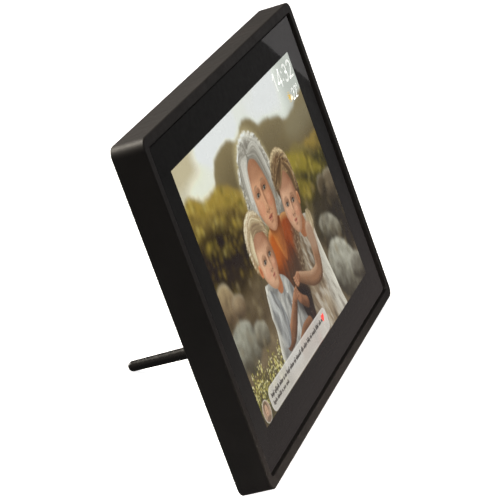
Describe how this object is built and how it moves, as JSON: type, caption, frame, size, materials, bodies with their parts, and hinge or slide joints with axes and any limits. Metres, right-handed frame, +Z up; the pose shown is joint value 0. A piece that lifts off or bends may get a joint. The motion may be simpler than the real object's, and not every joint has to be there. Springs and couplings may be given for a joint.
{
  "type": "smart display",
  "caption": "Landscape touch display in a deep black frame with a raised rim, leaning back on one screw-in tapered leg, with rear vents, port bay and keyholes.",
  "frame": {"origin": "bottom centre of the whole object as it stands on a table", "axes": "+X to the viewer's right along the long side, +Y from the face to the back, +Z up"},
  "size_m": [0.2674, 0.1172, 0.1768],
  "materials": {
    "frame_plastic": "fine spark texture, warm black",
    "cover_plastic": "moulded grain, black",
    "foot_rubber": "matte",
    "cover_glass": "polished",
    "black_ink": "printed, even black",
    "sensor_glass": "clear film",
    "foam_tape": "matte foam",
    "display": "lit colour picture",
    "white_film": "satin white",
    "clear_acrylic": "clear, dotted back",
    "led_strip": "white lamps on amber film",
    "sheet_steel": "zinc plated",
    "screw_steel": "black oxide",
    "ribbon_film": "amber polyimide",
    "circuit_board": "green solder mask",
    "connector_plastic": "ivory moulded",
    "chip_plastic": "matte epoxy",
    "thermal_rubber": "soft grey",
    "heat_aluminium": "extruded, bead blasted",
    "antenna_ceramic": "ceramic",
    "ferrite": "sintered",
    "capacitor_body": "satin",
    "socket_steel": "nickel plated",
    "switch_body": "moulded",
    "switch_plunger": "moulded",
    "speaker_metal": "black zinc",
    "speaker_cone": "pressed film",
    "wire_insulation": "soft insulation",
    "insert_brass": "turned, knurled",
    "button_plastic": "satin black",
    "washer_rubber": "matte",
    "stud_steel": "zinc plated",
    "leg_plastic": "satin black"
  },
  "bodies": {
    "housing": {"front_frame": "frame_plastic", "rubber_feet": "foot_rubber", "cover_glass": "cover_glass", "glass_mask": "black_ink", "touch_sensor": "sensor_glass", "glass_tape": "foam_tape", "lcd_cell": "display", "optical_films": "white_film", "light_guide": "clear_acrylic", "reflector_sheet": "white_film", "led_strip": "led_strip", "lcd_back_tray": "sheet_steel", "panel_brackets": "sheet_steel", "bracket_screws": "screw_steel", "display_ribbon": "ribbon_film", "touch_ribbon": "ribbon_film", "main_board": "circuit_board", "board_screws": "screw_steel", "board_connectors": "connector_plastic", "processor_chip": "chip_plastic", "thermal_pad": "thermal_rubber", "heat_spreader": "heat_aluminium", "memory_chips": "chip_plastic", "wifi_module": "sheet_steel", "chip_antenna": "antenna_ceramic", "power_inductors": "ferrite", "capacitors": "capacitor_body", "power_inlet_shell": "socket_steel", "power_inlet_tongue": "connector_plastic", "card_socket": "socket_steel", "power_switch": "switch_body", "speaker_frame": "speaker_metal", "speaker_cone": "speaker_cone", "speaker_gasket": "foam_tape", "speaker_wires": "wire_insulation", "rear_cover": "cover_plastic", "cover_screws": "screw_steel", "leg_insert_landscape": "insert_brass", "leg_insert_portrait": "insert_brass"},
    "power_button": {"power_button": "button_plastic", "power_switch_plunger": "switch_plunger"},
    "leg_carrier": {"leg_washer": "washer_rubber"},
    "leg": {"leg_rod": "leg_plastic", "leg_stud": "stud_steel"}
  },
  "joints": [
    {"name": "power_button_press", "type": "slide", "parent": "housing", "child": "power_button", "axis": [0, -0.9373, 0.3486], "range_m": [0, 0.0006], "stiffness_N_per_m": 2000, "springref_m": -0.0001},
    {"name": "leg_slide", "type": "slide", "parent": "housing", "child": "leg_carrier", "axis": [0, 0.9373, -0.3486], "range_m": [0, 0.005]},
    {"name": "leg_turn", "type": "hinge", "parent": "leg_carrier", "child": "leg", "pos_m": [0, -0.02985, 0.03474], "axis": [0, 0.9373, -0.3486], "range_deg": [0, 1802]}
  ],
  "couplings": [
    {"joint": "leg_turn", "follows": "leg_slide", "rad_per_m": 6283.2}
  ]
}
